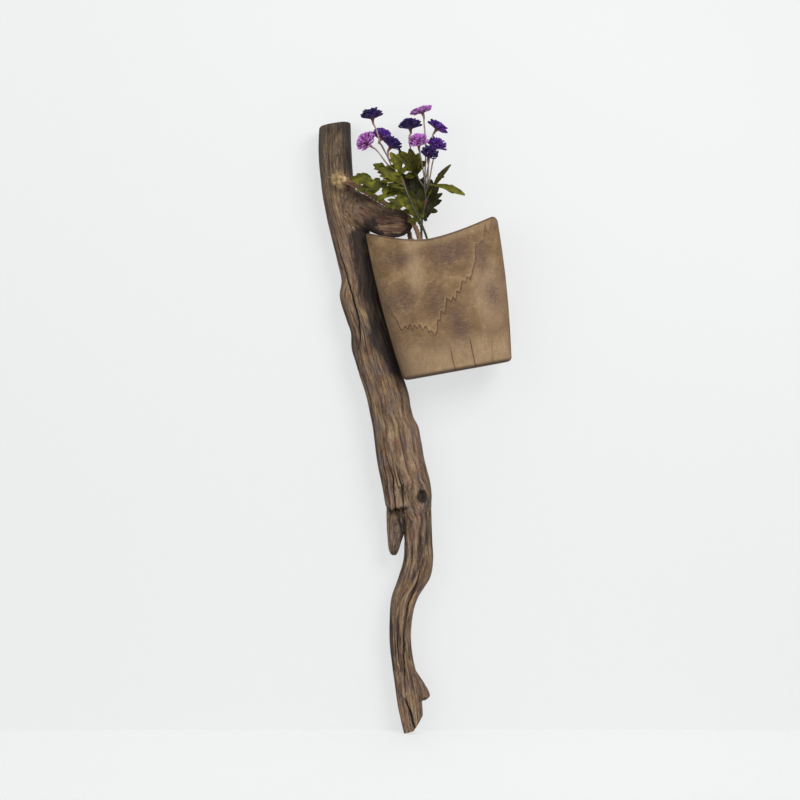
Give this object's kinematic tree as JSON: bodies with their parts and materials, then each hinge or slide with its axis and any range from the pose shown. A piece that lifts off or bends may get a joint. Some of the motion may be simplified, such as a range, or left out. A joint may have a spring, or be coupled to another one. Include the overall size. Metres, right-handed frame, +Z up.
{
  "type": "wooden log planter",
  "caption": "Hollowed wooden pot slung by a jute rope from the sawn stub of a tall weathered log, with artificial flowers standing in foam and ring hangers on its back.",
  "frame": {"origin": "on the planed flat of the log's back, 59 mm below its top, where it bears on the wall", "axes": "+Z up along the log, +Y out of the log's back into the wall, +X to the viewer's right, the pot's side"},
  "size_m": [0.3072, 0.1187, 1.0126],
  "materials": {
    "driftwood": "weathered, grooved and unfinished",
    "carved_wood": "smooth with a dry satin sheen",
    "jute": "coarse twisted fibre",
    "steel": "dull zinc",
    "foam": "dry open-celled foam",
    "stem": "wire covered in plastic",
    "leaf": "woven leaf with a slight sheen",
    "petal_navy": "dyed cloth",
    "petal_violet": "dyed cloth",
    "petal_pink": "dyed cloth"
  },
  "bodies": {
    "planter": {"driftwood_log": "driftwood", "pot_body": "carved_wood", "rope_sling": "jute", "rope_knot": "jute", "rope_nail": "steel", "floral_foam": "foam", "pot_screw_1": "steel", "pot_washer_1": "steel", "pot_screw_2": "steel", "pot_washer_2": "steel", "hanger_strap_upper": "steel", "hanger_screw_upper_1": "steel", "hanger_screw_upper_2": "steel", "hanger_strap_lower": "steel", "hanger_screw_lower_1": "steel", "hanger_screw_lower_2": "steel"},
    "flower_bunch": {"bunch_stem": "stem", "flower_1": "petal_navy", "flower_2": "petal_pink", "flower_3": "petal_violet", "flower_4": "petal_navy", "flower_5": "petal_navy", "flower_6": "petal_pink", "flower_7": "petal_violet", "flower_8": "petal_pink", "flower_9": "petal_violet", "flower_10": "petal_navy", "leaf_1": "leaf", "leaf_2": "leaf", "leaf_3": "leaf", "leaf_4": "leaf", "leaf_5": "leaf", "leaf_6": "leaf", "leaf_7": "leaf", "leaf_8": "leaf", "leaf_9": "leaf", "leaf_10": "leaf", "leaf_11": "leaf", "leaf_12": "leaf", "leaf_13": "leaf", "leaf_14": "leaf"},
    "ring_upper": {"hanger_ring_upper": "steel"},
    "ring_lower": {"hanger_ring_lower": "steel"}
  },
  "joints": [
    {"name": "flower_bunch_lift", "type": "slide", "parent": "planter", "child": "flower_bunch", "axis": [0, 0, 1], "range_m": [0, 0.24]},
    {"name": "ring_upper_swing", "type": "hinge", "parent": "planter", "child": "ring_upper", "pos_m": [0.0066, -0.0047, -0.05], "axis": [1, 0, 0], "range_deg": [0, 180]},
    {"name": "ring_lower_swing", "type": "hinge", "parent": "planter", "child": "ring_lower", "pos_m": [0.0981, -0.0047, -0.44], "axis": [1, 0, 0], "range_deg": [0, 180]}
  ]
}
